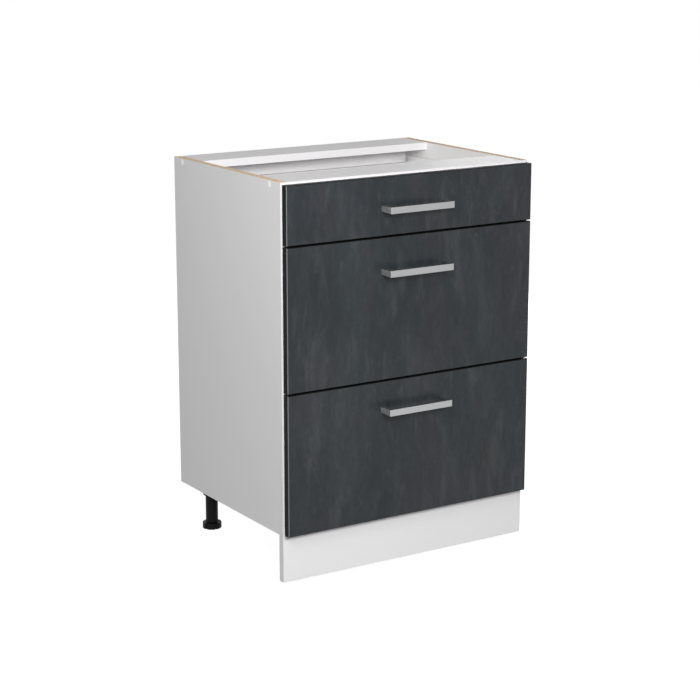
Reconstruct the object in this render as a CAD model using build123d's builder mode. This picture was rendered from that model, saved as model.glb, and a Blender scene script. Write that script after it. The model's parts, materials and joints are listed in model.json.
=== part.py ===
from build123d import *
import math
import os

os.makedirs("parts", exist_ok=True)

# Base cabinet with three drawers on roller runners, in mm.
# +X is to the right, +Y to the back and +Z up. The floor is Z 0, and the origin is
# under the middle of the whole unit, handles included.

# Carcass
unit_width = 600.0
side_depth = 444.0
side_height = 720.0
leg_height = 98.0  # floor to the underside of the sides
board = 16.0
rail_width = 96.0
edge_break = 0.4  # small chamfer on the long front edges of the boards
back_sheet = 3.0
back_inset = 9.0  # rear edge of the sides to the back sheet
groove_depth = 7.0
groove_play = 0.2  # wider than the back sheet
groove_end_play = 0.5  # back sheet to the bottom of a groove
worktop_hole = 5.0
worktop_hole_inset = 100.0  # side to the worktop screw holes

# Plinth
plinth_board = 16.0
plinth_play = 0.4  # under the sides

# Drawer fronts
front_board = 16.0
front_gap = 2.0  # carcass to the back of a front
front_reveal = 2.5  # each side of a front
top_reveal = 4.5
bottom_reveal = 2.5
front_seam = 3.0
top_front_height = 119.0
front_radius = 1.5

# Bow handles
handle_length = 154.0
handle_height = 13.3
handle_reach = 35.0
handle_bar = 6.0
handle_leg = 9.0
handle_root = 11.0  # height of a leg where it meets the front
handle_bevel = 1.2
handle_corner = 2.0  # radius inside the bow
handle_drops = (63.0, 69.0, 59.0)  # top of each front to its handle

# Steel drawer sides
shallow_side = 86.0
deep_side = 150.0
side_sheet = 1.0
rear_room = 32.0  # drawer sides to the back sheet
runner_room = 13.5  # carcass side to the inner face of a drawer side
hem = 9.5  # outward flange along the top
hem_lip = 4.0
floor_flange = 12.0  # inward flange that carries the bottom
run_flange_clear = 1.3  # running flange to the web of the runner
rear_tab = 24.0
rear_tab_margin = 4.0  # tab to the bottom and to the top of the drawer back
shallow_lift = 1.0  # bottom of the top front to its drawer side
lowest_box_gap = 6.0  # bottom panel to the lowest drawer side

# Drawer bottom and back
drawer_board = 16.0
drawer_play = 0.5
back_drop = 11.0  # drawer back lower than the drawer sides

# Front brackets
bracket_sheet = 1.5
bracket_height = 50.0
bracket_reach = 30.0
bracket_width = 18.0
bracket_play = 0.3

# Runners and rollers
runner_sheet = 1.2
runner_setback = 3.0  # front edge of the side to the runner, which is as long as a drawer side
runner_clear = 1.2  # runner flanges to the drawer side
channel_lift = 6.0  # bottom of the drawer side to the runner
flange_clear = 1.0  # runner to the running flange above it
roller_diameter = 17.0
roller_width = 8.0
roller_gap = 0.3  # to what the roller runs on and to the sheet that carries it
axle_diameter = 4.0
axle_play = 0.05
axle_head = 0.8  # end of the axle past the roller
front_roller_setback = 12.0  # runner's front end to its roller
rear_roller_setback = 14.0  # drawer side's rear end to its roller
notch_play = 3.0  # front roller to the start of the top flange
held_length = 100.0  # length of a drawer side that stays in its runner when open
stop_play = 2.3  # roller to the stop tab when open
stop_tab = 5.0
stop_tab_clear = 1.0  # stop tab to the lip of the runner

# Legs
leg_side_inset = 45.0  # outer face of a side to the leg
leg_front_inset = 46.0  # front edge of a side to the front leg
leg_rear_inset = 57.0  # rear edge of a side to the rear leg
tube_diameter = 27.0
tube_play = 0.1
tube_top_gap = 0.4
socket_plate = 6.0
socket_boss = 39.0
socket_draft = 1.0  # boss narrower at its mouth, on the radius
socket_depth = 22.0
socket_play = 1.0  # plate to the plinth
socket_corner = 8.0
foot_diameter = 41.6
foot_height = 13.0
foot_bevel = 1.2  # top edge of the rim
foot_notches = 6
foot_notch_width = 3.0
foot_notch_depth = 2.2
foot_notch_turn = 25.5  # +X to the first notch, in degrees
foot_gap = 0.3
foot_travel = 15.0
stem_diameter = 12.0
stem_grip = 25.0  # stem still inside the tube at full travel
stem_play = 0.08
stem_headroom = 2.0

# Plinth clips
clip_height = 12.0
clip_wall = 3.0
clip_level = 50.0
clip_mouth = 18.0
clip_plate = 30.0
clip_play = 0.3

# Caps over the rail screws
cap_diameter = 12.6
cap_thickness = 0.9
cap_drop = 8.5  # top of the sides to the caps
cap_front_inset = 43.0
cap_rear_inset = 36.0

# Places that follow from the sizes
front_y = -(side_depth - front_gap - front_board - handle_reach) / 2
rear_y = front_y + side_depth
middle_y = (front_y + rear_y) / 2
outer_x = unit_width / 2
inner_x = outer_x - board
base_z = leg_height
top_z = leg_height + side_height
floor_z = base_z + board
rail_z = top_z - board
back_y = rear_y - back_inset - back_sheet
front_back_y = front_y - front_gap
face_y = front_back_y - front_board
low_fronts = side_height - top_reveal - bottom_reveal - 2 * front_seam - top_front_height
front_heights = (top_front_height, low_fronts / 2, low_fronts / 2)
front_tops = (
    top_z - top_reveal,
    top_z - top_reveal - front_heights[0] - front_seam,
    top_z - top_reveal - front_heights[0] - front_heights[1] - 2 * front_seam,
)
lowest_box_z = floor_z + lowest_box_gap
deep_lift = lowest_box_z - (front_tops[2] - front_heights[2])
box_floors = (
    front_tops[0] - front_heights[0] + shallow_lift,
    front_tops[1] - front_heights[1] + deep_lift,
    lowest_box_z,
)
side_heights = (shallow_side, deep_side, deep_side)
side_end_y = back_y - rear_room
side_length = side_end_y - front_y
travel = side_length - held_length
wall_x = inner_x - runner_room  # inner face of a right drawer side
wall_outer_x = wall_x + side_sheet
web_x = inner_x - runner_sheet
runner_lip_x = wall_outer_x + runner_clear
front_roller_x = web_x - roller_gap - roller_width / 2
rear_roller_x = wall_outer_x + roller_gap + roller_width / 2
channel_height = roller_diameter + 2 * roller_gap + 2 * runner_sheet
rear_roller_lift = channel_lift + channel_height / 2
run_flange_lift = channel_lift + channel_height + flange_clear
front_roller_lift = run_flange_lift - roller_gap - roller_diameter / 2
runner_y = front_y + runner_setback
front_roller_y = runner_y + front_roller_setback
rear_roller_y = side_end_y - rear_roller_setback
stop_y = rear_roller_y - travel - roller_diameter / 2 - stop_play
leg_x = outer_x - leg_side_inset
leg_ys = (front_y + leg_front_inset, rear_y - leg_rear_inset)
tube_top_z = base_z - socket_plate - tube_top_gap
socket_width = 2 * (leg_side_inset - board)  # the plate ends at the inner face of the side
socket_length = 2 * (leg_front_inset - plinth_board - socket_play)
tube_bottom_z = foot_height + foot_gap
stem_top_z = foot_height + stem_grip + foot_travel
cap_ys = (front_y + cap_front_inset, rear_y - cap_rear_inset)

LEFT, RIGHT = -1, 1
hands = {"left": LEFT, "right": RIGHT}


def save(piece, node):
    piece.part.label = node
    export_step(piece.part, f"parts/{node}.step")


def cross_plane(y):
    """The upright plane across the unit at depth y. A negative extrusion goes back."""
    return Plane.XZ.offset(-y)


def outward(side, x, y, z):
    """A place on an upright face whose outside is towards the left or the right."""
    return Plane((side * x, y, z), z_dir=(side, 0, 0))


def turned(outline, x, y):
    """A round upright piece at (x, y), from its half outline of (radius, height) points."""
    with BuildPart() as blank:
        with BuildSketch(Plane.XZ):
            with BuildLine():
                Polyline(*outline, close=True)
            make_face()
        revolve(axis=Axis.Z)
    with BuildPart() as piece:
        with Locations((x, y, 0)):
            add(blank.part)
    return piece


# ---- Carcass panels ----


def side_panel(side):
    """Side with its rear groove for the back sheet."""
    with BuildPart() as panel:
        with BuildSketch(Plane.YZ.offset(side * inner_x)):
            with Locations((middle_y, (base_z + top_z) / 2)):
                Rectangle(side_depth, side_height)
        extrude(amount=side * board)
        long_edges = panel.faces().sort_by(Axis.Y)[0].edges().filter_by(Axis.Z)
        chamfer(long_edges, edge_break)
        with BuildSketch(Plane.YZ.offset(side * inner_x)):
            with Locations((back_y + back_sheet / 2, (base_z + top_z) / 2)):
                Rectangle(back_sheet + groove_play, side_height)
        extrude(amount=side * groove_depth, mode=Mode.SUBTRACT)
    return panel


def flat_board(low_z, start_y, width, groove_side=0):
    """A board between the sides, with a groove for the back sheet above or below."""
    with BuildPart() as panel:
        with BuildSketch(Plane.XY.offset(low_z)):
            with Locations((0, start_y + width / 2)):
                Rectangle(2 * inner_x, width)
        extrude(amount=board)
        if groove_side:
            grooved_z = low_z + board if groove_side > 0 else low_z
            with BuildSketch(Plane.XY.offset(grooved_z)):
                with Locations((0, back_y + back_sheet / 2)):
                    Rectangle(2 * inner_x, back_sheet + groove_play)
            extrude(amount=-groove_side * groove_depth, mode=Mode.SUBTRACT)
    return panel


def top_rail(start_y, groove_side=0):
    """Flat rail flush with the top of the sides, with two holes for worktop screws."""
    hole_x = outer_x - worktop_hole_inset
    hole_y = start_y + rail_width / 2
    with BuildPart() as rail:
        add(flat_board(rail_z, start_y, rail_width, groove_side).part)
        with Locations((-hole_x, hole_y, top_z), (hole_x, hole_y, top_z)):
            Hole(worktop_hole / 2)
    return rail


def back_panel():
    tongue = groove_depth - groove_end_play
    with BuildPart() as panel:
        with BuildSketch(cross_plane(back_y)):
            with Locations((0, (floor_z + rail_z) / 2)):
                Rectangle(2 * (inner_x + tongue), rail_z - floor_z + 2 * tongue)
        extrude(amount=-back_sheet)
    return panel


def plinth_panel():
    height = leg_height - plinth_play
    with BuildPart() as panel:
        with BuildSketch(cross_plane(front_y)):
            with Locations((0, height / 2)):
                Rectangle(unit_width, height)
        extrude(amount=-plinth_board)
        chamfer(panel.faces().sort_by(Axis.Y)[0].edges(), edge_break)
    return panel


def cover_caps():
    """Round caps on the outer faces of the sides, over the screws into the top rails."""
    with BuildPart() as caps:
        places = [(side, y) for side in hands.values() for y in cap_ys]
        with Locations(*[outward(side, outer_x, y, top_z - cap_drop) for side, y in places]):
            Cylinder(
                cap_diameter / 2,
                cap_thickness,
                align=(Align.CENTER, Align.CENTER, Align.MIN),
            )
    return caps


# ---- Legs, feet and plinth clips ----


def leg_socket(x, y):
    """Plate under the bottom panel, with a boss that grips the tube."""
    boss_height = socket_depth - socket_plate
    mouth_z = base_z - socket_depth
    with BuildPart() as socket:
        with BuildSketch(Plane.XY.offset(base_z - socket_plate)):
            with Locations((x, y)):
                plate = Rectangle(socket_width, socket_length)
            chamfer(plate.vertices(), socket_corner)
        extrude(amount=socket_plate)
        with Locations((x, y, mouth_z)):
            Cone(
                socket_boss / 2 - socket_draft,
                socket_boss / 2,
                boss_height,
                align=(Align.CENTER, Align.CENTER, Align.MIN),
            )
        with Locations(Plane((x, y, mouth_z), z_dir=(0, 0, -1))):
            Hole(tube_diameter / 2 + tube_play, boss_height)
    return socket


def leg_tube(x, y):
    """Tube closed at the top, with a bore from below for the foot's stem."""
    radius = tube_diameter / 2
    bore = stem_diameter / 2 + stem_play
    bore_top_z = stem_top_z + stem_headroom
    outline = [
        (bore, tube_bottom_z),
        (radius, tube_bottom_z),
        (radius, tube_top_z),
        (0, tube_top_z),
        (0, bore_top_z),
        (bore, bore_top_z),
    ]
    return turned(outline, x, y)


def foot(x, y):
    """Levelling foot with notches round its rim, on a stem that screws into the tube."""
    rim, stem = foot_diameter / 2, stem_diameter / 2
    outline = [
        (0, 0),
        (rim, 0),
        (rim, foot_height - foot_bevel),
        (rim - foot_bevel, foot_height),
        (stem, foot_height),
        (stem, stem_top_z),
        (0, stem_top_z),
    ]
    with BuildPart() as piece:
        add(turned(outline, x, y).part)
        with BuildSketch(Plane.XY):
            with Locations((x, y)):
                with PolarLocations(rim, foot_notches, foot_notch_turn):
                    Rectangle(2 * foot_notch_depth, foot_notch_width)
        extrude(amount=foot_height, mode=Mode.SUBTRACT)
    return piece


def plinth_clip(x, y):
    """C clip round a front tube, with an arm and a pad on the back of the plinth."""
    bore = tube_diameter / 2 + clip_play
    pad_y = front_y + plinth_board
    with BuildPart() as clip:
        with BuildSketch(Plane.XY.offset(clip_level)):
            with Locations((x, y)):
                Circle(bore + clip_wall)
            with Locations((x, (pad_y + y) / 2)):
                Rectangle(clip_height, y - pad_y)
            with Locations((x, y)):
                Circle(bore, mode=Mode.SUBTRACT)
            with Locations((x, y + bore + clip_wall / 2)):
                Rectangle(clip_mouth, bore, mode=Mode.SUBTRACT)
        extrude(amount=clip_height)
        with BuildSketch(cross_plane(pad_y)):
            with Locations((x, clip_level + clip_height / 2)):
                Rectangle(clip_plate, clip_plate)
        extrude(amount=-clip_wall)
    return clip


# ---- Runners and rollers ----


def axle(side, x, y, z, length, away):
    """Riveted axle that stands on a sheet, towards the carcass side or away from it."""
    with BuildPart() as pin:
        with Locations(outward(side if away else -side, x if away else -x, y, z)):
            Cylinder(
                axle_diameter / 2,
                length,
                align=(Align.CENTER, Align.CENTER, Align.MIN),
            )
    return pin


def runner(side, box_z):
    """Channel on the carcass side, with a stop tab and the axle of the front roller."""
    low_z = box_z + channel_lift
    high_z = low_z + channel_height
    wall, web, lip = side * inner_x, side * web_x, side * runner_lip_x
    flange = abs(web - lip)
    flange_x = (web + lip) / 2
    notch = front_roller_setback + roller_diameter / 2 + notch_play
    pin_length = roller_gap + roller_width + axle_head
    with BuildPart() as piece:
        with BuildSketch(cross_plane(runner_y)):
            with BuildLine():
                Polyline(
                    (wall, low_z),
                    (lip, low_z),
                    (lip, low_z + runner_sheet),
                    (web, low_z + runner_sheet),
                    (web, high_z - runner_sheet),
                    (lip, high_z - runner_sheet),
                    (lip, high_z),
                    (wall, high_z),
                    close=True,
                )
            make_face()
        extrude(amount=-side_length)
        # The top flange starts behind the front roller, which stands a little above it
        with BuildSketch(Plane.XY.offset(high_z)):
            with Locations((flange_x, runner_y + notch / 2)):
                Rectangle(flange, notch)
        extrude(amount=-runner_sheet, mode=Mode.SUBTRACT)
        # The stop tab is bent down from the top flange and catches the rear roller
        with BuildSketch(Plane.XY.offset(high_z - runner_sheet)):
            with Locations((flange_x + side * stop_tab_clear / 2, stop_y - runner_sheet / 2)):
                Rectangle(flange - stop_tab_clear, runner_sheet)
        extrude(amount=-stop_tab)
        add(axle(side, web_x, front_roller_y, box_z + front_roller_lift, pin_length, False).part)
    return piece


def roller_pair(x, y, z):
    """Left and right nylon rollers on one line, each with its bore."""
    with BuildPart() as pair:
        with Locations(*[outward(side, x, y, z) for side in hands.values()]):
            Cylinder(roller_diameter / 2, roller_width)
            Hole(axle_diameter / 2 + axle_play, roller_width)
    return pair


# ---- Drawers ----


def drawer_side(side, box_z, height):
    """Folded steel side: hem at the top, running flange outside, floor flange inside."""
    inner, outer = side * wall_x, side * wall_outer_x
    top = box_z + height
    run_z = box_z + run_flange_lift
    run_reach = side * (web_x - run_flange_clear)
    hem_reach = side * (wall_outer_x + hem)
    hem_inner = side * (wall_outer_x + hem - side_sheet)
    floor_reach = side * (wall_x - floor_flange)
    sheet = side_sheet
    pin_length = roller_gap + roller_width + axle_head
    tab_low = box_z + sheet + drawer_board + rear_tab_margin
    tab_high = top - back_drop - rear_tab_margin
    with BuildPart() as piece:
        with BuildSketch(cross_plane(front_y)):
            with BuildLine():
                Polyline(
                    (floor_reach, box_z),
                    (outer, box_z),
                    (outer, run_z),
                    (run_reach, run_z),
                    (run_reach, run_z + sheet),
                    (outer, run_z + sheet),
                    (outer, top - sheet),
                    (hem_inner, top - sheet),
                    (hem_inner, top - hem_lip),
                    (hem_reach, top - hem_lip),
                    (hem_reach, top),
                    (inner, top),
                    (inner, box_z + sheet),
                    (floor_reach, box_z + sheet),
                    close=True,
                )
            make_face()
        extrude(amount=-side_length)
        # Rear tab, folded in behind the drawer back
        with BuildSketch(cross_plane(side_end_y)):
            with Locations((side * (wall_x - rear_tab / 2), (tab_low + tab_high) / 2)):
                Rectangle(rear_tab, tab_high - tab_low)
        extrude(amount=sheet)
        add(axle(side, wall_outer_x, rear_roller_y, box_z + rear_roller_lift, pin_length, True).part)
    return piece


def drawer_bottom(box_z):
    width = 2 * (wall_x - drawer_play)
    length = side_length - side_sheet
    with BuildPart() as panel:
        with BuildSketch(Plane.XY.offset(box_z + side_sheet)):
            with Locations((0, front_y + length / 2)):
                Rectangle(width, length)
        extrude(amount=drawer_board)
    return panel


def drawer_back(box_z, height):
    width = 2 * (wall_x - drawer_play)
    low_z = box_z + side_sheet + drawer_board
    high_z = box_z + height - back_drop
    with BuildPart() as panel:
        with BuildSketch(cross_plane(side_end_y - side_sheet)):
            with Locations((0, (low_z + high_z) / 2)):
                Rectangle(width, high_z - low_z)
        extrude(amount=drawer_board)
    return panel


def front_brackets(box_z):
    """Angle plates: one leg on the back of the front, one inside the steel side."""
    low_z = box_z + side_sheet + drawer_board + bracket_play
    with BuildPart() as pair:
        for side in hands.values():
            face = side * (wall_x - bracket_play)
            inner_face = face - side * bracket_sheet
            tip = face - side * bracket_width
            with BuildSketch(Plane.XY.offset(low_z)):
                with BuildLine():
                    Polyline(
                        (face, front_back_y),
                        (face, front_back_y + bracket_reach),
                        (inner_face, front_back_y + bracket_reach),
                        (inner_face, front_back_y + bracket_sheet),
                        (tip, front_back_y + bracket_sheet),
                        (tip, front_back_y),
                        close=True,
                    )
                make_face()
            extrude(amount=bracket_height)
    return pair


def drawer_front(top, height):
    """Front board with rounded edges all round its face."""
    with BuildPart() as panel:
        with BuildSketch(cross_plane(face_y)):
            with Locations((0, top - height / 2)):
                Rectangle(unit_width - 2 * front_reveal, height)
        extrude(amount=-front_board)
        fillet(panel.faces().sort_by(Axis.Y)[0].edges(), front_radius)
    return panel


def bow_handle(handle_z):
    """Flat bar in front of two legs that get lower towards the drawer front."""
    tip_y = face_y - handle_reach
    bar_back_y = tip_y + handle_bar
    half, root = handle_height / 2, handle_root / 2
    with BuildPart() as handle:
        with BuildSketch(Plane.XY.offset(handle_z)):
            with Locations((0, (tip_y + face_y) / 2)):
                Rectangle(handle_length, handle_reach)
            # As long again as the reach, so that the gap is open towards the front
            with Locations((0, bar_back_y + handle_reach / 2)):
                gap = handle_length - 2 * handle_leg
                RectangleRounded(gap, handle_reach, handle_corner, mode=Mode.SUBTRACT)
        extrude(amount=half, both=True)
        with BuildSketch(Plane.YZ):
            with BuildLine():
                Polyline(
                    (tip_y, handle_z - half),
                    (bar_back_y, handle_z - half),
                    (face_y, handle_z - root),
                    (face_y, handle_z + root),
                    (bar_back_y, handle_z + half),
                    (tip_y, handle_z + half),
                    close=True,
                )
            make_face()
        extrude(amount=handle_length, both=True, mode=Mode.INTERSECT)
        ends = handle.faces().sort_by(Axis.Y)[0].edges().filter_by(Axis.Z)
        chamfer(ends, handle_bevel)
    return handle


# ---- Making the nodes ----

for hand, side in hands.items():
    save(side_panel(side), f"{hand}_side_panel")
save(flat_board(base_z, front_y, side_depth, groove_side=1), "bottom_panel")
save(top_rail(front_y), "front_rail")
save(top_rail(rear_y - rail_width, groove_side=-1), "rear_rail")
save(back_panel(), "back_panel")
save(plinth_panel(), "plinth_panel")
save(cover_caps(), "cover_caps")

sockets, tubes, clips = [], [], []
for depth, leg_y in zip(("front", "rear"), leg_ys):
    for hand, side in hands.items():
        sockets.append(leg_socket(side * leg_x, leg_y).part)
        tubes.append(leg_tube(side * leg_x, leg_y).part)
        save(foot(side * leg_x, leg_y), f"{depth}_{hand}_foot")
        if depth == "front":
            clips.append(plinth_clip(side * leg_x, leg_y).part)
for node, pieces in (("leg_sockets", sockets), ("leg_tubes", tubes), ("plinth_clips", clips)):
    with BuildPart() as group:
        add(pieces)
    save(group, node)

for n, (top, height, drop) in enumerate(zip(front_tops, front_heights, handle_drops), 1):
    box_z, box_height = box_floors[n - 1], side_heights[n - 1]
    front_roller_z = box_z + front_roller_lift
    rear_roller_z = box_z + rear_roller_lift
    for hand, side in hands.items():
        save(runner(side, box_z), f"runner_{n}_{hand}")
        save(drawer_side(side, box_z, box_height), f"drawer_{n}_{hand}_side")
    save(roller_pair(front_roller_x, front_roller_y, front_roller_z), f"runner_{n}_front_rollers")
    save(roller_pair(rear_roller_x, rear_roller_y, rear_roller_z), f"drawer_{n}_rear_rollers")
    save(drawer_bottom(box_z), f"drawer_{n}_bottom")
    save(drawer_back(box_z, box_height), f"drawer_{n}_back")
    save(front_brackets(box_z), f"drawer_{n}_front_brackets")
    save(drawer_front(top, height), f"drawer_{n}_front")
    save(bow_handle(top - drop), f"drawer_{n}_handle")
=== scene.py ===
import json
import math

import bpy
from mathutils import Matrix, Vector


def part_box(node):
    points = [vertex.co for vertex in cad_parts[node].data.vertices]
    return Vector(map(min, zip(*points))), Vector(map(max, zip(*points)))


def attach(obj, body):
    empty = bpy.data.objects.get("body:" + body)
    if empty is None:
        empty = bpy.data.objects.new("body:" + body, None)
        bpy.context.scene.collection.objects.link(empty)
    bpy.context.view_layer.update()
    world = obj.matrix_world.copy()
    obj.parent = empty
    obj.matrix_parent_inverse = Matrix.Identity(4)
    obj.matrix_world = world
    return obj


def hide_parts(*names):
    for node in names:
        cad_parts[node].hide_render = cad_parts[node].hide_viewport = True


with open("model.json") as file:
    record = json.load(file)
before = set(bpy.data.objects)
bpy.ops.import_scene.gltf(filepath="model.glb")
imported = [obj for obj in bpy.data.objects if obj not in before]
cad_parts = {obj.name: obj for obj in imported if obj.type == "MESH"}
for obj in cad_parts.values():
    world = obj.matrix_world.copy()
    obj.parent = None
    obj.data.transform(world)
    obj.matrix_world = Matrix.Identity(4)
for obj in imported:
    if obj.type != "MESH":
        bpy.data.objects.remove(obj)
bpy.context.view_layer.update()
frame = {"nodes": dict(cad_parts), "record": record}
bodyOfNode = {
    node: body
    for body, nodes in frame["record"]["behaviour"]["bodies"].items()
    for node in nodes
}
mm = 0.001
drawerNumbers = (1, 2, 3)
hands = {"left": -1, "right": 1}
depths = ("front", "rear")
print("frame loaded")


# Selecting, editing and finishing

mergeGap = {"solid": 0.01 * mm, "spun": 0.001 * mm}  # points nearer than this become one
facet = {"flat": 0.4, "spun": 35, "smooth": 40}  # angles between faces, in degrees
facingShare = {"mostly": 0.6, "squarely": 0.9}  # how much of a face's normal lies along an axis


def pick(piece):
    bpy.ops.object.select_all(action="DESELECT")
    piece.select_set(True)
    bpy.context.view_layer.objects.active = piece


def applyAll(piece):
    pick(piece)
    for modifier in list(piece.modifiers):
        bpy.ops.object.modifier_apply(modifier=modifier.name)


def softenEdges(piece, width, segments=2, angle=32):
    # a small round on each sharp edge, with the flat faces kept flat in the shading
    bevel = piece.modifiers.new("edge", "BEVEL")
    bevel.width = width
    bevel.segments = segments
    bevel.limit_method = "ANGLE"
    bevel.angle_limit = math.radians(angle)
    applyAll(piece)
    bpy.ops.object.shade_smooth_by_angle(angle=math.radians(facet["smooth"]))
    flat = piece.modifiers.new("flatShading", "WEIGHTED_NORMAL")
    flat.keep_sharp = True
    applyAll(piece)


def finish(piece, body, look, replaced=()):
    # puts one piece on its body and gives it its material
    piece.data.materials.append(look)
    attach(piece, body)
    if replaced:
        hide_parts(*replaced)
    return piece


def nodeCopy(node, name):
    # the solid's own shape as one welded mesh, ready for its edges to be softened
    piece = bpy.data.objects.new(name, frame["nodes"][node].data.copy())
    bpy.context.scene.collection.objects.link(piece)
    piece.data.materials.clear()
    pick(piece)
    bpy.ops.object.mode_set(mode="EDIT")
    bpy.ops.mesh.select_all(action="SELECT")
    bpy.ops.mesh.remove_doubles(threshold=mergeGap["solid"])
    bpy.ops.mesh.dissolve_limited(angle_limit=math.radians(facet["flat"]))
    bpy.ops.object.mode_set(mode="OBJECT")
    return piece


def softNode(node, name, width, look):
    piece = nodeCopy(node, name)
    softenEdges(piece, width)
    return finish(piece, bodyOfNode[node], look, [node])


def paintFaces(piece, look, chosen):
    # a second finish on the faces that chosen picks by their place and direction
    piece.data.materials.append(look)
    place = len(piece.data.materials) - 1
    for face in piece.data.polygons:
        if chosen(face):
            face.material_index = place


def facing(axis, side, share):
    # picks the faces that look along an axis, 0 to 2, to its plus or minus side
    return lambda face: face.normal[axis] * side > facingShare[share]


def spun(name, outline, centre, axis, steps=48):
    # a round piece from its half outline of (radius, distance along the axis) points
    turn = Vector(axis).to_track_quat("Z", "Y").to_matrix()
    points = [Vector(centre) + turn @ Vector((radius, 0, along)) for radius, along in outline]
    mesh = bpy.data.meshes.new(name)
    mesh.from_pydata(points, [(n, n + 1) for n in range(len(points) - 1)], [])
    piece = bpy.data.objects.new(name, mesh)
    bpy.context.scene.collection.objects.link(piece)
    pick(piece)
    bpy.ops.object.mode_set(mode="EDIT")
    bpy.ops.mesh.select_all(action="SELECT")
    bpy.ops.mesh.spin(steps=steps, angle=math.tau, center=centre, axis=axis)
    bpy.ops.mesh.select_all(action="SELECT")
    bpy.ops.mesh.remove_doubles(threshold=mergeGap["spun"])
    bpy.ops.mesh.normals_make_consistent(inside=False)
    bpy.ops.object.mode_set(mode="OBJECT")
    bpy.ops.object.shade_smooth_by_angle(angle=math.radians(facet["spun"]))
    return piece


def block(name, low, high):
    low, high = Vector(low), Vector(high)
    bpy.ops.mesh.primitive_cube_add(size=1, location=(low + high) / 2)
    piece = bpy.context.active_object
    piece.name = name
    piece.scale = high - low
    bpy.ops.object.transform_apply(location=True, rotation=True, scale=True)
    return piece


def cutAway(piece, cutters):
    # takes the cutters' shapes out of the piece
    for cutter in cutters:
        cut = piece.modifiers.new("cut", "BOOLEAN")
        cut.operation = "DIFFERENCE"
        cut.solver = "EXACT"
        cut.object = cutter
        applyAll(piece)
    for cutter in cutters:
        bpy.data.objects.remove(cutter)


def cutCross(piece, arm, slot, floor):
    # a cross recess round the Z axis from floor up, with half lengths arm and slot
    top = 5 * mm  # above every head
    cutters = [
        block("armX", (-arm, -slot, floor), (arm, slot, top)),
        block("armY", (-slot, -arm, floor), (slot, arm, top)),
    ]
    cutAway(piece, cutters)


def copyTo(pattern, name, places):
    # copies of a pattern that is made at the origin, looking along Z, joined as one piece
    copies = []
    for n, (place, axis) in enumerate(places):
        turn = Vector(axis).to_track_quat("Z", "Y").to_matrix().to_4x4()
        mesh = pattern.data.copy()
        mesh.transform(Matrix.Translation(place) @ turn)
        copy = bpy.data.objects.new(f"{name}{n}", mesh)
        bpy.context.scene.collection.objects.link(copy)
        copies.append(copy)
    pick(copies[0])
    for copy in copies:
        copy.select_set(True)
    bpy.ops.object.join()
    copies[0].name = name
    return copies[0]


# Building materials

def addNode(tree, kind, values=None, **settings):
    node = tree.nodes.new(kind)
    for key, value in settings.items():
        setattr(node, key, value)
    for key, value in (values or {}).items():
        node.inputs[key].default_value = value
    return node


def objectPlace(tree):
    return addNode(tree, "ShaderNodeTexCoord").outputs["Object"]


def ramp(tree, stops, source):
    # each stop is a place from 0 to 1 with a colour or a number
    node = addNode(tree, "ShaderNodeValToRGB")
    marks = node.color_ramp.elements
    while len(marks) < len(stops):
        marks.new(0.5)  # anywhere, because the next loop moves it
    for mark, (place, color) in zip(marks, stops):
        mark.position = place
        mark.color = (*color, 1) if isinstance(color, tuple) else (color, color, color, 1)
    tree.links.new(source, node.inputs["Fac"])
    return node.outputs["Color"]


def spots(tree, coordinates, scale, detail, roughness=0.5, distortion=0.0):
    values = {"Scale": scale, "Detail": detail, "Roughness": roughness, "Distortion": distortion}
    node = addNode(tree, "ShaderNodeTexNoise", values)
    tree.links.new(coordinates, node.inputs["Vector"])
    return node.outputs["Fac"]


def stretched(tree, coordinates, scale):
    node = addNode(tree, "ShaderNodeMapping", {"Scale": scale})
    tree.links.new(coordinates, node.inputs["Vector"])
    return node.outputs["Vector"]


def tallSpots(tree, coordinates, rise, **noise):
    # spots drawn out along the height: the smaller the rise, the longer they are
    return spots(tree, stretched(tree, coordinates, (1, 1, rise)), **noise)


def blended(tree, first, second, share, mode="MIX"):
    # first and second are sockets or colours, share a socket or a number
    colorInputs = {"share": 0, "first": 6, "second": 7}  # the mix node's sockets for colours
    colorOutput = 2
    node = addNode(tree, "ShaderNodeMix", data_type="RGBA", blend_type=mode)
    for label, value in (("share", share), ("first", first), ("second", second)):
        socket = node.inputs[colorInputs[label]]
        if isinstance(value, bpy.types.NodeSocket):
            tree.links.new(value, socket)
        else:
            socket.default_value = value if label == "share" else (*value, 1)
    return node.outputs[colorOutput]


def counted(tree, operation, first, second):
    node = addNode(tree, "ShaderNodeMath", operation=operation)
    for place, value in enumerate((first, second)):
        if isinstance(value, bpy.types.NodeSocket):
            tree.links.new(value, node.inputs[place])
        else:
            node.inputs[place].default_value = value
    return node.outputs["Value"]


def weighed(tree, parts):
    # the sum of sockets, each times its share
    scaled = [counted(tree, "MULTIPLY", socket, share) for socket, share in parts]
    total = scaled[0]
    for part in scaled[1:]:
        total = counted(tree, "ADD", total, part)
    return total


def newGroup(name, inputs, outputs):
    tree = bpy.data.node_groups.new(name, "ShaderNodeTree")
    for label, value in inputs.items():
        socket = tree.interface.new_socket(label, in_out="INPUT", socket_type="NodeSocketFloat")
        socket.default_value = value
    for label in outputs:
        tree.interface.new_socket(label, in_out="OUTPUT", socket_type="NodeSocketFloat")
    start = addNode(tree, "NodeGroupInput")
    end = addNode(tree, "NodeGroupOutput")
    return tree, start, end, objectPlace(tree)


def useGroup(tree, group, **values):
    return addNode(tree, "ShaderNodeGroup", values, node_tree=group).outputs


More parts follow.
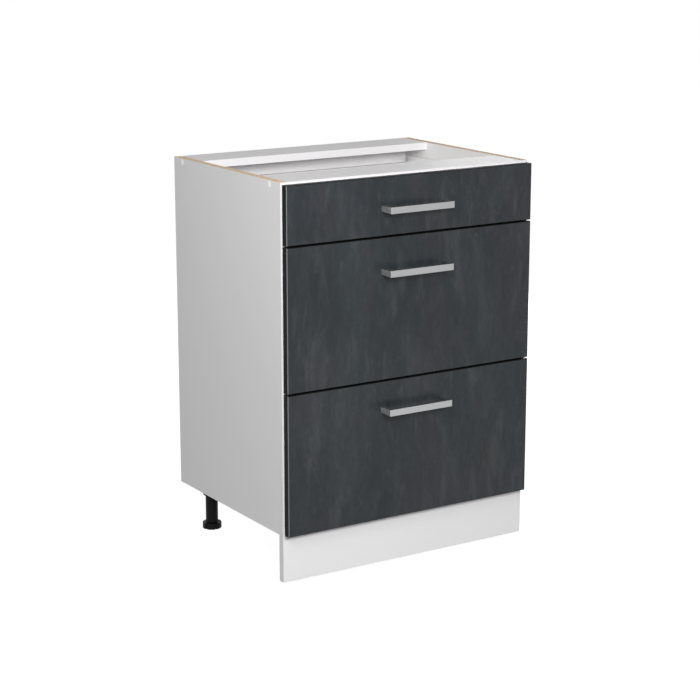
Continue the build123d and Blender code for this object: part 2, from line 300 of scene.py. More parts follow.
def pearlGroup():
    # fine pearl grain of a pressed board face, and the faint clouds under it
    tree, start, end, place = newGroup("pearlGrain", {"Grain": 900.0, "Clouds": 5.0}, ["Height", "Shade"])
    grain = addNode(tree, "ShaderNodeTexNoise", {"Detail": 2.0, "Roughness": 0.6})
    clouds = addNode(tree, "ShaderNodeTexNoise", {"Detail": 5.0, "Roughness": 0.55})
    for node, label, output in ((grain, "Grain", "Height"), (clouds, "Clouds", "Shade")):
        tree.links.new(place, node.inputs["Vector"])
        tree.links.new(start.outputs[label], node.inputs["Scale"])
        tree.links.new(node.outputs["Fac"], end.inputs[output])
    return tree


def mouldGroup():
    # dull skin of moulded plastic and powder coating: pits, and patches that shine a little more
    tree, start, end, place = newGroup("mouldSkin", {"Pits": 700.0, "Patches": 12.0}, ["Height", "Sheen"])
    pits = addNode(tree, "ShaderNodeTexVoronoi", {"Smoothness": 0.6}, feature="SMOOTH_F1")
    patches = addNode(tree, "ShaderNodeTexNoise", {"Detail": 6.0, "Roughness": 0.6})
    for node, label in ((pits, "Pits"), (patches, "Patches")):
        tree.links.new(place, node.inputs["Vector"])
        tree.links.new(start.outputs[label], node.inputs["Scale"])
    tree.links.new(pits.outputs["Distance"], end.inputs["Height"])
    tree.links.new(patches.outputs["Fac"], end.inputs["Sheen"])
    return tree


def brushGroup():
    # long fine lines left by brushing along X, and the dull patches of handling
    tree, start, end, place = newGroup("brushLines", {"Lines": 1400.0, "Patches": 18.0}, ["Line", "Patch"])
    across = stretched(tree, place, (0.012, 1, 1))
    lines = addNode(tree, "ShaderNodeTexNoise", {"Detail": 3.0, "Roughness": 0.7})
    patches = addNode(tree, "ShaderNodeTexNoise", {"Detail": 4.0})
    for node, label, output, source in (
        (lines, "Lines", "Line", across),
        (patches, "Patches", "Patch", place),
    ):
        tree.links.new(source, node.inputs["Vector"])
        tree.links.new(start.outputs[label], node.inputs["Scale"])
        tree.links.new(node.outputs["Fac"], end.inputs[output])
    return tree


pearlGrain = pearlGroup()
mouldSkin = mouldGroup()
brushLines = brushGroup()


def newLook(name, roughness, metallic=0.0, shine=0.5):
    look = bpy.data.materials.new(name)
    look.use_nodes = True
    tree = look.node_tree
    shader = tree.nodes["Principled BSDF"]
    shader.inputs["Roughness"].default_value = roughness
    shader.inputs["Metallic"].default_value = metallic
    shader.inputs["Specular IOR Level"].default_value = shine
    return look, tree, shader


def bump(tree, shader, height, strength, depth):
    node = addNode(tree, "ShaderNodeBump", {"Strength": strength, "Distance": depth})
    tree.links.new(height, node.inputs["Height"])
    tree.links.new(node.outputs["Normal"], shader.inputs["Normal"])


def patchyGloss(tree, shader, stops, source):
    # a roughness that changes from patch to patch
    tree.links.new(ramp(tree, stops, source), shader.inputs["Roughness"])


def boardLook(name, color, cloudy, roughness):
    look, tree, shader = newLook(name, roughness)
    pearl = useGroup(tree, pearlGrain)
    tree.links.new(blended(tree, color, cloudy, pearl["Shade"]), shader.inputs["Base Color"])
    bump(tree, shader, pearl["Height"], strength=0.12, depth=0.2 * mm)
    return look


def brushedLook(name, light, dark, roughness):
    change = 0.07
    look, tree, shader = newLook(name, roughness, metallic=1.0)
    brush = useGroup(tree, brushLines)
    tree.links.new(blended(tree, dark, light, brush["Line"]), shader.inputs["Base Color"])
    patchyGloss(tree, shader, [(0.3, roughness - change), (0.7, roughness + change)], brush["Patch"])
    bump(tree, shader, brush["Line"], strength=0.25, depth=0.2 * mm)
    return look


def mouldedLook(name, color, worn, roughness, pits, shine):
    change = 0.06
    look, tree, shader = newLook(name, roughness, shine=shine)
    skin = useGroup(tree, mouldSkin, Pits=pits)
    tree.links.new(blended(tree, color, worn, skin["Sheen"]), shader.inputs["Base Color"])
    patchyGloss(tree, shader, [(0.35, roughness - change), (0.65, roughness + change)], skin["Sheen"])
    bump(tree, shader, skin["Height"], strength=0.12, depth=0.3 * mm)
    return look


def chipboardLook():
    # cut edge of a board: pale and brown wood flakes with darker gaps
    colors = {
        "wood": [(0.0, (0.52, 0.33, 0.18)), (0.35, (0.70, 0.50, 0.31)), (0.75, (0.82, 0.66, 0.46))],
        "gap": (0.27, 0.14, 0.065),
    }
    look, tree, shader = newLook("bareChipboard", roughness=0.85)
    place = objectPlace(tree)
    flakes = addNode(tree, "ShaderNodeTexVoronoi", {"Scale": 760.0})
    tree.links.new(stretched(tree, place, (1, 0.45, 0.45)), flakes.inputs["Vector"])
    chance = addNode(tree, "ShaderNodeSeparateColor")
    tree.links.new(flakes.outputs["Color"], chance.inputs["Color"])
    tone = ramp(tree, colors["wood"], chance.outputs["Red"])
    specks = spots(tree, place, scale=420.0, detail=3.0, roughness=0.6)
    gaps = ramp(tree, [(0.60, 0.0), (0.72, 1.0)], specks)
    tree.links.new(blended(tree, tone, colors["gap"], gaps), shader.inputs["Base Color"])
    bump(tree, shader, flakes.outputs["Distance"], strength=0.5, depth=0.6 * mm)
    return look


def hardboardLook():
    # bare back of the fibreboard sheet: brown felted fibres under faint clouds
    colors = {
        "fibres": [(0.3, (0.25, 0.145, 0.075)), (0.7, (0.40, 0.25, 0.14))],
        "clouds": (0.19, 0.105, 0.05),
    }
    cloudShare = 0.5
    look, tree, shader = newLook("bareFibreboard", roughness=0.8)
    place = objectPlace(tree)
    fibres = spots(tree, place, scale=240.0, detail=6.0, roughness=0.7, distortion=1.5)
    clouds = spots(tree, place, scale=9.0, detail=5.0, roughness=0.6)
    clouds = counted(tree, "MULTIPLY", clouds, cloudShare)
    tone = ramp(tree, colors["fibres"], fibres)
    tree.links.new(blended(tree, tone, colors["clouds"], clouds), shader.inputs["Base Color"])
    bump(tree, shader, fibres, strength=0.3, depth=0.4 * mm)
    return look


slate = {
    "greys": [
        (0.34, (0.0165, 0.0203, 0.0232)),
        (0.48, (0.0230, 0.0276, 0.0312)),
        (0.56, (0.0290, 0.0340, 0.0378)),
        (0.68, (0.0420, 0.0478, 0.0518)),
    ],
    "tints": [(0.38, (0.93, 1.0, 0.985)), (0.62, (1.11, 1.0, 1.04))],
    "smudge": (0.079, 0.080, 0.082),
    "vein": (0.095, 0.097, 0.100),
    "gloss": [(0.35, 0.22), (0.7, 0.32)],
}


def slateClouds(tree, place, streaks):
    # upright clouds of lighter and darker grey that turn from cool to warm
    clouds = tallSpots(tree, place, rise=0.45, scale=9.0, detail=5.0, roughness=0.55)
    mottle = tallSpots(tree, place, rise=0.5, scale=95.0, detail=5.0, roughness=0.65)
    warmth = tallSpots(tree, place, rise=0.32, scale=12.0, detail=4.0, roughness=0.55, distortion=0.3)
    tone = weighed(tree, ((clouds, 0.48), (streaks, 0.26), (mottle, 0.26)))
    greys = ramp(tree, slate["greys"], tone)
    return blended(tree, greys, ramp(tree, slate["tints"], warmth), share=1.0, mode="MULTIPLY")


def slateSmudges(tree, place, ground):
    # short pale smudges with torn edges, in three sizes
    smudges = (
        {"scale": 20.0, "rise": 0.30, "start": 0.64, "share": 0.32},
        {"scale": 46.0, "rise": 0.22, "start": 0.65, "share": 0.28},
        {"scale": 110.0, "rise": 0.40, "start": 0.65, "share": 0.18},
    )
    torn = {"finer": 9.0, "share": 0.10}
    fade = 0.15
    for smudge in smudges:
        shape = {"rise": smudge["rise"], "scale": smudge["scale"]}
        body = tallSpots(tree, place, **shape, detail=3.0, roughness=0.5, distortion=0.35)
        fine = spots(tree, place, scale=torn["finer"] * smudge["scale"], detail=3.0, roughness=0.7)
        edge = counted(tree, "ADD", body, counted(tree, "MULTIPLY", fine, torn["share"]))
        area = ramp(tree, [(smudge["start"], 0.0), (smudge["start"] + fade, 1.0)], edge)
        cover = counted(tree, "MULTIPLY", area, smudge["share"])
        ground = blended(tree, ground, slate["smudge"], cover)
    return ground


def slateVeins(tree, place, ground):
    # faint pale veins, here and there
    line = tallSpots(tree, place, rise=0.36, scale=12.0, detail=5.0, roughness=0.62, distortion=0.9)
    vein = ramp(tree, [(0.490, 0.0), (0.498, 1.0), (0.506, 0.0)], line)
    patch = ramp(tree, [(0.54, 0.0), (0.66, 0.30)], spots(tree, place, scale=7.0, detail=3.0))
    return blended(tree, ground, slate["vein"], counted(tree, "MULTIPLY", vein, patch))


def slateLook():
    # dark grey slate print that runs on over the three fronts
    look, tree, shader = newLook("slatePrint", roughness=0.26, shine=0.2)
    place = objectPlace(tree)
    streaks = tallSpots(tree, place, rise=0.22, scale=38.0, detail=4.0, roughness=0.6, distortion=0.3)
    color = slateClouds(tree, place, streaks)
    color = slateSmudges(tree, place, color)
    color = slateVeins(tree, place, color)
    tree.links.new(color, shader.inputs["Base Color"])
    patchyGloss(tree, shader, slate["gloss"], streaks)
    fine = tallSpots(tree, place, rise=0.3, scale=220.0, detail=4.0, roughness=0.6)
    bump(tree, shader, fine, strength=0.06, depth=0.3 * mm)
    return look


# colour, cloudy colour and roughness of each board finish
boardFinishes = {
    "whiteBoard": ((0.84, 0.835, 0.84), (0.81, 0.805, 0.81), 0.42),
    # a darker copy of the white board that paints shade on the tops of the rails
    "railTopPaintedShade": ((0.675, 0.665, 0.67), (0.645, 0.635, 0.64), 0.42),
    "whiteBand": ((0.84, 0.83, 0.84), (0.82, 0.81, 0.82), 0.32),
    # a lighter copy of the white board that paints light on the inner faces of the sides
    "innerBoardPaintedLight": ((0.88, 0.87, 0.865), (0.85, 0.84, 0.835), 0.42),
    "backFoil": ((0.96, 0.95, 0.96), (0.93, 0.92, 0.93), 0.5),
    "frontBack": ((0.78, 0.78, 0.78), (0.74, 0.74, 0.745), 0.4),
    "drawerBoard": ((0.77, 0.765, 0.77), (0.74, 0.735, 0.74), 0.45),
}
# light lines, dark lines and roughness of each metal
metals = {
    "brushedSteel": ((0.45, 0.455, 0.46), (0.33, 0.335, 0.34), 0.34),
    # a rougher and lighter copy of the handle metal, whose lighter colour paints light on the outer sides
    # of the legs
    "satinSteelWithPaintedLight": ((0.62, 0.62, 0.62), (0.50, 0.50, 0.50), 0.55),
    "zinc": ((0.62, 0.63, 0.63), (0.47, 0.48, 0.49), 0.34),
}
# colour, worn colour, roughness, pits per metre and shine of each moulded or coated skin
skins = {
    "slateEdge": ((0.006, 0.0065, 0.007), (0.009, 0.0095, 0.010), 0.45, 500.0, 0.04),
    # a lighter slate that paints a highlight on the rounded left corner of each front
    "slatePaintedHighlight": ((0.140, 0.146, 0.152), (0.180, 0.186, 0.192), 0.35, 500.0, 0.2),
    "coatedSteel": ((0.85, 0.85, 0.84), (0.82, 0.82, 0.81), 0.36, 1100.0, 0.5),
    "nylon": ((0.76, 0.75, 0.71), (0.70, 0.69, 0.64), 0.42, 700.0, 0.5),
    "blackPlastic": ((0.0055, 0.0055, 0.0055), (0.009, 0.009, 0.009), 0.42, 700.0, 0.09),
    "capPlastic": ((0.98, 0.98, 0.97), (0.96, 0.96, 0.95), 0.26, 700.0, 1.0),
}
looks = {
    "bareChipboard": chipboardLook(),
    "bareFibreboard": hardboardLook(),
    "slatePrint": slateLook(),
}
for makeLook, finishes in ((boardLook, boardFinishes), (brushedLook, metals), (mouldedLook, skins)):
    for name, values in finishes.items():
        looks[name] = makeLook(name, *values)
print("materials made")


# Carcass boards: white faces, white bands in front, bare chipboard where the boards are cut

edges = {
    "board": 0.35 * mm,
    "sheet": 0.2 * mm,
    "front": 0.3 * mm,
    "handle": 0.45 * mm,
    "steel": 0.25 * mm,
    "socket": 0.8 * mm,
    "clip": 0.5 * mm,
}


def boardPiece(node, name, bandedFront, cutSides):
    # cutSides are the axis and side of each face that is left raw
    near = 0.2 * mm
    piece = softNode(node, name, edges["board"], looks["whiteBoard"])
    low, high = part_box(node)
    forward = facing(1, -1, "mostly")
    if bandedFront:
        paintFaces(piece, looks["whiteBand"], lambda face: forward(face) and face.center.y < low.y + near)
    for axis, side in cutSides:
        end = high[axis] if side > 0 else low[axis]
        outward = facing(axis, side, "mostly")
        paintFaces(
            piece,
            looks["bareChipboard"],
            lambda face: outward(face) and abs(face.center[axis] - end) < near,
        )
    return piece


def paintHoles(rail, node):
    # bare chipboard on the walls of the worktop holes, which lie well inside the rail
    sizes = {"margin": 20 * mm, "slope": 0.5}
    low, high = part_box(node)
    low, high = low + Vector.Fill(3, sizes["margin"]), high - Vector.Fill(3, sizes["margin"])
    paintFaces(
        rail,
        looks["bareChipboard"],
        lambda face: abs(face.normal.z) < sizes["slope"]
        and low.x < face.center.x < high.x
        and low.y < face.center.y < high.y,
    )


for hand, side in hands.items():
    panel = boardPiece(f"{hand}_side_panel", f"{hand}SidePanel", True, [(2, 1), (2, -1), (1, 1)])
    # painted light: the inner face gets the lighter copy of the white board
    paintFaces(panel, looks["innerBoardPaintedLight"], facing(0, -side, "squarely"))
boardPiece("bottom_panel", "bottomPanel", True, [(1, 1)])
for depth in depths:
    rail = boardPiece(f"{depth}_rail", f"{depth}Rail", True, [(1, 1)])
    # painted shade: the top face gets the darker copy of the white board
    paintFaces(rail, looks["railTopPaintedShade"], facing(2, 1, "squarely"))
    paintHoles(rail, f"{depth}_rail")
boardPiece("plinth_panel", "plinthPanel", False, [(2, -1)])
backSheet = softNode("back_panel", "backSheet", edges["sheet"], looks["backFoil"])
paintFaces(backSheet, looks["bareFibreboard"], facing(1, 1, "mostly"))


def coverCaps():
    # low domes that fall away to a thin rim
    sizes = {
        "radius": 6.3 * mm,
        "thickness": 0.9 * mm,
        "rim": 0.12 * mm,
        "steps": 8,
        "power": 4,  # the higher, the flatter the middle
    }
    low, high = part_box("cover_caps")
    middleZ = (low.z + high.z) / 2
    capYs = (low.y + sizes["radius"], high.y - sizes["radius"])
    rise = sizes["thickness"] - sizes["rim"]
    shares = [n / sizes["steps"] for n in range(sizes["steps"] + 1)]
    outline = [
        (sizes["radius"] * share, sizes["rim"] + rise * (1 - share ** sizes["power"])) for share in shares
    ]
    outline += [(sizes["radius"], 0), (0, 0)]
    for hand, side in hands.items():
        faceX = low.x + sizes["thickness"] if side < 0 else high.x - sizes["thickness"]
        for place, y in zip(depths, capYs):
            cap = spun(f"{hand}Cap{place.title()}", outline, (faceX, y, middleZ), (side, 0, 0))
            finish(cap, "carcass", looks["capPlastic"], ["cover_caps"])


coverCaps()
print("carcass made")


# Legs

def legTube(name, x, y):
    # closed at the top, with a bore for the stem of the foot
    # the bore has no face at its inner end, where the stem hides it
    sizes = {"radius": 13.5 * mm, "bore": 6.1 * mm, "roof": 14 * mm, "edge": 0.6 * mm}
    radius, bore, edge = sizes["radius"], sizes["bore"], sizes["edge"]
    low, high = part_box("leg_tubes")
    outline = [
        (bore, high.z - sizes["roof"]),
        (bore, low.z + edge),
        (bore + edge, low.z),
        (radius - edge, low.z),
        (radius, low.z + edge),
        (radius, high.z - edge),
        (radius - edge, high.z),
        (0, high.z),
    ]
    tube = spun(name, outline, (x, y, 0), (0, 0, 1))
    finish(tube, "carcass", looks["blackPlastic"], ["leg_tubes"])


def footOutline(sizes, top):
    # hollow sole, rounded rim and dished face, then the stem with its thread up to top
    rim, curve, face, core = sizes["rim"], sizes["round"], sizes["height"], sizes["core"]
    arc = [math.radians(angle) for angle in (0, 22.5, 45, 67.5, 90)]
    outline = [
        (0, sizes["hollow"]),
        (rim - sizes["sole"], sizes["hollow"]),
        (rim - sizes["sole"] - sizes["slope"], 0),
        (rim - sizes["edge"], 0),
        (rim, sizes["edge"]),
    ]
    outline += [(rim - curve + curve * math.cos(a), face - curve + curve * math.sin(a)) for a in arc]
    outline += [
        (sizes["dish"], face),
        (sizes["dish"] - sizes["dishDepth"], face - sizes["dishDepth"]),
        (core, face - sizes["dishDepth"]),
    ]
    ridge = ((0.25, core), (0.50, sizes["stem"]), (0.70, sizes["stem"]), (0.95, core))
    turns = int((top - face - sizes["pitch"]) / sizes["pitch"])
    for n in range(turns):
        outline += [(radius, face + (n + share) * sizes["pitch"]) for share, radius in ridge]
    return outline + [(core, top), (0, top)]


def footPiece(node, name):
    # foot with six finger notches round its rim, on a threaded stem
    sizes = {
        "rim": 20.8 * mm,
        "height": 13 * mm,
        "hollow": 0.6 * mm,
        "sole": 3 * mm,
        "slope": 0.3 * mm,
        "edge": 0.4 * mm,
        "round": 1.1 * mm,
        "dish": 16.6 * mm,
        "dishDepth": 0.5 * mm,
        "stem": 6 * mm,
        "core": 5.2 * mm,
        "pitch": 2 * mm,
        "steps": 72,
        "notchDepth": 2.2 * mm,
        "notchWidth": 3 * mm,
        "notchPast": 2 * mm,
        "notches": 6,
        "turn": 25.5,
        "soft": 0.25 * mm,
    }
    low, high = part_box(node)
    middle = (low + high) / 2
    place = (middle.x, middle.y, 0)
    foot = spun(name, footOutline(sizes, high.z), place, (0, 0, 1), sizes["steps"])
    rim, halfWidth, past = sizes["rim"], sizes["notchWidth"] / 2, sizes["notchPast"]
    cutters = []
    for n in range(sizes["notches"]):
        cutter = block(
            "notch",
            (rim - sizes["notchDepth"], -halfWidth, -past),
            (rim + past, halfWidth, sizes["height"] + past),
        )
        turn = math.radians(sizes["turn"] + n * 360 / sizes["notches"])
        cutter.data.transform(Matrix.Translation(place) @ Matrix.Rotation(turn, 4, "Z"))
        cutters.append(cutter)
    cutAway(foot, cutters)
    softenEdges(foot, sizes["soft"], angle=50)
    finish(foot, bodyOfNode[node], looks["blackPlastic"], [node])
    return middle.x, middle.y


for depth in depths:
    for hand in hands:
        x, y = footPiece(f"{depth}_{hand}_foot", f"{depth}{hand.title()}Foot")
        legTube(f"{depth}{hand.title()}Tube", x, y)
softNode("leg_sockets", "legSockets", edges["socket"], looks["blackPlastic"])
softNode("plinth_clips", "plinthClips", edges["clip"], looks["blackPlastic"])
print("legs made")


# Drawers

def frontPiece(n):
    # slate on the face, dark wrapped edges with a painted highlight down the left corner, a plain back
    shares = {"edge": 0.3, "round": 0.2, "cornerX": 0.02, "cornerY": 0.1}
    front = softNode(f"drawer_{n}_front", f"drawer{n}Front", edges["front"], looks["slatePrint"])
    paintFaces(
        front,
        looks["slateEdge"],
        lambda face: abs(face.normal.y) < shares["edge"]
        or abs(face.normal.z) > shares["round"]
        or face.normal.x > shares["round"],
    )
    # painted highlight: the rounded left corner gets the lighter slate
    paintFaces(
        front,
        looks["slatePaintedHighlight"],
        lambda face: face.normal.x < -shares["cornerX"] and face.normal.y < -shares["cornerY"],
    )
    paintFaces(front, looks["frontBack"], facing(1, 1, "mostly"))


def handlePiece(n):
    # brushed bar; the outer sides of the legs get a duller finish and a lighter colour, and the lighter
    # colour is painted light
    handle = softNode(f"drawer_{n}_handle", f"drawer{n}Handle", edges["handle"], looks["brushedSteel"])
    paintFaces(
        handle,
        looks["satinSteelWithPaintedLight"],
        lambda face: face.normal.x * math.copysign(1, face.center.x) > facingShare["squarely"],
    )


def boxPieces(n):
    # folded steel sides, the runners that they run in, boards and front brackets
    steel = (edges["steel"], looks["coatedSteel"])
    for hand in hands:
        softNode(f"drawer_{n}_{hand}_side", f"drawer{n}{hand.title()}Side", *steel)
        softNode(f"runner_{n}_{hand}", f"runner{n}{hand.title()}", *steel)
    softNode(f"drawer_{n}_bottom", f"drawer{n}Bottom", edges["board"], looks["drawerBoard"])
    back = softNode(f"drawer_{n}_back", f"drawer{n}Back", edges["board"], looks["drawerBoard"])
    # the white band on the top face is an edge band, and its brightness is partly painted light that lifts
    # the shade on that face
    paintFaces(back, looks["backFoil"], facing(2, 1, "squarely"))  # white band along the top
    softNode(f"drawer_{n}_front_brackets", f"drawer{n}Brackets", edges["steel"], looks["zinc"])


def rollerPieces(node, name):
    # nylon rollers with a hub and a shallow dish on both faces
    sizes = {
        "radius": 8.5 * mm,
        "bore": 2.05 * mm,
        "width": 8 * mm,
        "hub": 3.9 * mm,
        "rim": 6.9 * mm,
        "dish": 1.2 * mm,
        "slope": 0.3 * mm,
        "edge": 0.5 * mm,
    }
    low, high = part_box(node)
    y, z, half = (low.y + high.y) / 2, (low.z + high.z) / 2, sizes["width"] / 2
    flank = [
        (sizes["bore"], half),
        (sizes["hub"], half),
        (sizes["hub"] + sizes["slope"], half - sizes["dish"]),
        (sizes["rim"] - sizes["slope"], half - sizes["dish"]),
        (sizes["rim"], half),
        (sizes["radius"] - sizes["edge"], half),
        (sizes["radius"], half - sizes["edge"]),
    ]
    outline = flank + [(radius, -along) for radius, along in reversed(flank)] + [flank[0]]
    for hand, x in (("Left", low.x + half), ("Right", high.x - half)):
        roller = spun(f"{name}{hand}", outline, (x, y, z), (1, 0, 0))
        finish(roller, bodyOfNode[node], looks["nylon"], [node])


for n in drawerNumbers:
    frontPiece(n)
    handlePiece(n)
    boxPieces(n)
for n in drawerNumbers:
    rollerPieces(f"runner_{n}_front_rollers", f"runner{n}Roller")
    rollerPieces(f"drawer_{n}_rear_rollers", f"drawer{n}Roller")
print("drawers made")


# Screws and cams, each set joined as one piece

screwHeads = {
    "pan": {"radius": 3.9 * mm, "height": 2.3 * mm, "recess": 1.5 * mm},
    "small": {"radius": 3.3 * mm, "height": 1.7 * mm, "recess": 1.1 * mm},
    "flat": {"radius": 3.4 * mm, "height": 1.5 * mm, "recess": 1.0 * mm},
}
screwSink = 0.1 * mm  # how far a head goes into what it sits on


def screwHead(name, radius, height, recess):
    # domed head with a cross recess, made at the origin and looking up
    # arm, slot and the points of the dome are shares of the head's radius and height
    sizes = {"steps": 28, "arm": 0.55, "slot": 0.11, "soft": 0.06 * mm}
    dome = ((0, 1), (0.35, 1), (0.7, 0.88), (0.92, 0.55), (1, 0.15), (1, 0), (0, 0))
    outline = [(across * radius, up * height) for across, up in dome]
    head = spun(name, outline, (0, 0, 0), (0, 0, 1), sizes["steps"])
    cutCross(head, sizes["arm"] * radius, sizes["slot"] * radius, height - recess)
    softenEdges(head, sizes["soft"], segments=1, angle=50)
    return head


def screwSet(pattern, name, body, places):
    finish(copyTo(pattern, name, places), body, looks["zinc"])


def handleScrews(pattern, n):
    # through the front into the middle of both legs of the handle
    sizes = {"halfLeg": 4.5 * mm}
    low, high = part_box(f"drawer_{n}_handle")
    x, z = high.x - sizes["halfLeg"], (low.z + high.z) / 2
    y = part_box(f"drawer_{n}_front")[1].y - screwSink
    places = [((side * x, y, z), (0, 1, 0)) for side in hands.values()]
    screwSet(pattern, f"drawer{n}HandleScrews", f"drawer_{n}", places)


def bracketScrews(pattern, n):
    # two into the front and two into the steel side, for each bracket
    sizes = {"sheet": 1.5 * mm, "heights": (13 * mm, 37 * mm), "fromSide": 9.5 * mm, "fromEnd": 9 * mm}
    low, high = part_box(f"drawer_{n}_front_brackets")
    sheetY = low.y + sizes["sheet"] - screwSink
    sheetX = high.x - sizes["sheet"] + screwSink
    places = []
    for side in hands.values():
        for height in sizes["heights"]:
            z = low.z + height
            places.append(((side * (high.x - sizes["fromSide"]), sheetY, z), (0, 1, 0)))
            places.append(((side * sheetX, high.y - sizes["fromEnd"], z), (-side, 0, 0)))
    screwSet(pattern, f"drawer{n}BracketScrews", f"drawer_{n}", places)


def runnerScrews(pattern, n):
    # three in the channel of each runner
    sizes = {"sheet": 1.2 * mm, "fromFront": 36 * mm, "fromRear": 34 * mm}
    places = []
    for hand, side in hands.items():
        low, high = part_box(f"runner_{n}_{hand}")
        middle = (low + high) / 2
        wallX = max(abs(low.x), abs(high.x)) - sizes["sheet"] + screwSink
        for y in (low.y + sizes["fromFront"], middle.y, high.y - sizes["fromRear"]):
            places.append(((side * wallX, y, middle.z), (-side, 0, 0)))
    screwSet(pattern, f"runner{n}Screws", "carcass", places)


def socketScrews(pattern):
    # four round each leg, up through the plate of its socket
    sizes = {"plate": 6 * mm, "reach": 21 * mm}
    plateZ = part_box("bottom_panel")[0].z - sizes["plate"] + screwSink
    places = []
    for depth in depths:
        for hand in hands:
            low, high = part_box(f"{depth}_{hand}_foot")
            middle = (low + high) / 2
            for across in (-1, 1):
                for along in (-1, 1):
                    x, y = middle.x + across * sizes["reach"], middle.y + along * sizes["reach"]
                    places.append(((x, y, plateZ), (0, 0, -1)))
    screwSet(pattern, "socketScrews", "carcass", places)


def clipScrews(pattern):
    # four in the pad of each clip, into the plinth
    sizes = {"pad": 3 * mm, "padMiddle": 16.8 * mm, "across": 10.5 * mm, "fromEdge": 6 * mm}
    low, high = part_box("plinth_clips")
    padY = low.y + sizes["pad"] - screwSink
    places = []
    for side in hands.values():
        for across in (-1, 1):
            x = side * (high.x - sizes["padMiddle"]) + across * sizes["across"]
            for z in (high.z - sizes["fromEdge"], low.z + sizes["fromEdge"]):
                places.append(((x, padY, z), (0, 1, 0)))
    screwSet(pattern, "clipScrews", "carcass", places)


def camDiscs():
    # slotted cams that pull the sides onto the bottom panel, seen from below
    sizes = {
        "radius": 7.4 * mm,
        "face": 7.1 * mm,
        "proud": 0.4 * mm,
        "edge": 0.2 * mm,
        "sunk": 0.5 * mm,
        "steps": 36,
        "arm": 4.2 * mm,
        "slot": 1 * mm,
        "slotFloor": -0.3 * mm,
        "fromSide": 34 * mm,
        "fromFront": 100.5 * mm,
        "fromRear": 118.5 * mm,
    }
    outline = [
        (0, sizes["proud"]),
        (sizes["face"], sizes["proud"]),
        (sizes["radius"], sizes["edge"]),
        (sizes["radius"], -sizes["sunk"]),
        (0, -sizes["sunk"]),
    ]
    disc = spun("cam", outline, (0, 0, 0), (0, 0, 1), sizes["steps"])
    cutCross(disc, sizes["arm"], sizes["slot"], sizes["slotFloor"])
    low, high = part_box("bottom_panel")
    places = [
        ((side * (high.x - sizes["fromSide"]), y, low.z), (0, 0, -1))
        for side in hands.values()
        for y in (low.y + sizes["fromFront"], high.y - sizes["fromRear"])
    ]
    screwSet(disc, "camDiscs", "carcass", places)
    bpy.data.objects.remove(disc)


heads = {kind: screwHead(f"{kind}Head", **sizes) for kind, sizes in screwHeads.items()}
for n in drawerNumbers:
    handleScrews(heads["pan"], n)
    bracketScrews(heads["small"], n)
for n in drawerNumbers:
    runnerScrews(heads["flat"], n)
socketScrews(heads["flat"])
clipScrews(heads["flat"])
for head in heads.values():
    bpy.data.objects.remove(head)
camDiscs()
print("screws made")


# Floor, light and camera

def whiteToCamera(tree, plain, bright):
    # plain for the light on the object, bright for what the camera and the gloss see
    path = addNode(tree, "ShaderNodeLightPath")
    seen = counted(tree, "MAXIMUM", path.outputs["Is Camera Ray"], path.outputs["Is Glossy Ray"])
    seen = counted(tree, "MAXIMUM", seen, path.outputs["Is Transmission Ray"])
    mix = addNode(tree, "ShaderNodeMixShader")
    for socket, source in zip(mix.inputs, (seen, plain, bright)):
        tree.links.new(source, socket)
    return mix.outputs[0]


def studioFloor():
    # white to the camera, with the object's shadow, and low enough for feet that are screwed out
    sizes = {"width": 40.0, "below": 15.4 * mm, "glow": 0.92, "tone": 0.35}
    bpy.ops.mesh.primitive_plane_add(size=sizes["width"], location=(0, 0, -sizes["below"]))
    floor = bpy.context.active_object
    floor.name = "studioFloor"
    look = bpy.data.materials.new("studioFloor")
    look.use_nodes = True
    tree = look.node_tree
    tree.nodes.clear()
    grey = (sizes["tone"], sizes["tone"], sizes["tone"], 1)
    plain = addNode(tree, "ShaderNodeBsdfDiffuse", {"Color": grey})
    glow = addNode(tree, "ShaderNodeEmission", {"Strength": sizes["glow"]})
    both = addNode(tree, "ShaderNodeAddShader")
    tree.links.new(plain.outputs[0], both.inputs[0])
    tree.links.new(glow.outputs[0], both.inputs[1])
    end = addNode(tree, "ShaderNodeOutputMaterial")
    tree.links.new(whiteToCamera(tree, plain.outputs[0], both.outputs[0]), end.inputs["Surface"])
    floor.data.materials.append(look)


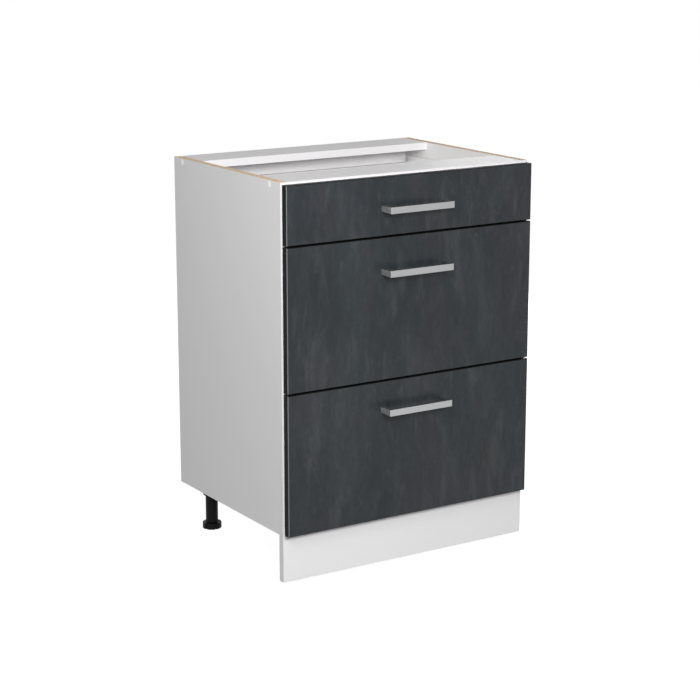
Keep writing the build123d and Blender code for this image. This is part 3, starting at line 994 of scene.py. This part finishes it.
def studioWorld():
    levels = {"plain": 0.23, "bright": 1.0}
    world = bpy.data.worlds.new("studio")
    bpy.context.scene.world = world
    world.use_nodes = True
    tree = world.node_tree
    tree.nodes.clear()
    plain = addNode(tree, "ShaderNodeBackground", {"Color": (1, 1, 1, 1), "Strength": levels["plain"]})
    bright = addNode(tree, "ShaderNodeBackground", {"Color": (1, 1, 1, 1), "Strength": levels["bright"]})
    end = addNode(tree, "ShaderNodeOutputWorld")
    tree.links.new(whiteToCamera(tree, plain.outputs[0], bright.outputs[0]), end.inputs["Surface"])


def softbox(name, place, target, size, power):
    light = bpy.data.lights.new(name, "AREA")
    light.shape = "RECTANGLE"
    light.size, light.size_y = size
    light.energy = power
    lamp = bpy.data.objects.new(name, light)
    bpy.context.scene.collection.objects.link(lamp)
    lamp.location = place
    lamp.rotation_mode = "QUATERNION"
    lamp.rotation_quaternion = (Vector(target) - Vector(place)).to_track_quat("-Z", "Y")


def photoCamera():
    # fitted to the straight edges of the cabinet in the photograph
    sizes = {
        "place": (-2.154, -3.361, 1.368),
        "yaw": 32.459,  # degrees to the right
        "pitch": 13.527,  # degrees down
        "lens": 98.42,  # millimetres, like the sensor
        "sensor": 36,
    }
    camera = bpy.data.objects.new("photoCamera", bpy.data.cameras.new("photoCamera"))
    bpy.context.scene.collection.objects.link(camera)
    camera.location = sizes["place"]
    camera.rotation_euler = (math.radians(90 - sizes["pitch"]), 0, -math.radians(sizes["yaw"]))
    camera.data.lens = sizes["lens"]
    camera.data.sensor_width = sizes["sensor"]
    bpy.context.scene.camera = camera


# place, target, size and watts of each lamp
lamps = {
    "frontLight": ((-0.6, -2.4, 1.5), (0, 0, 0.6), (1.6, 0.65), 50),
    "leftLight": ((-1.25, -0.95, 1.5), (0, 0, 0.6), (1.0, 0.7), 12),
    "rearLight": ((2.1, 1.7, 0.72), (0, 0, 0.45), (1.2, 0.9), 26),
}
studioFloor()
studioWorld()
for name, values in lamps.items():
    softbox(name, *values)
photoCamera()
bpy.context.scene.view_settings.view_transform = "Standard"
print("stage made")
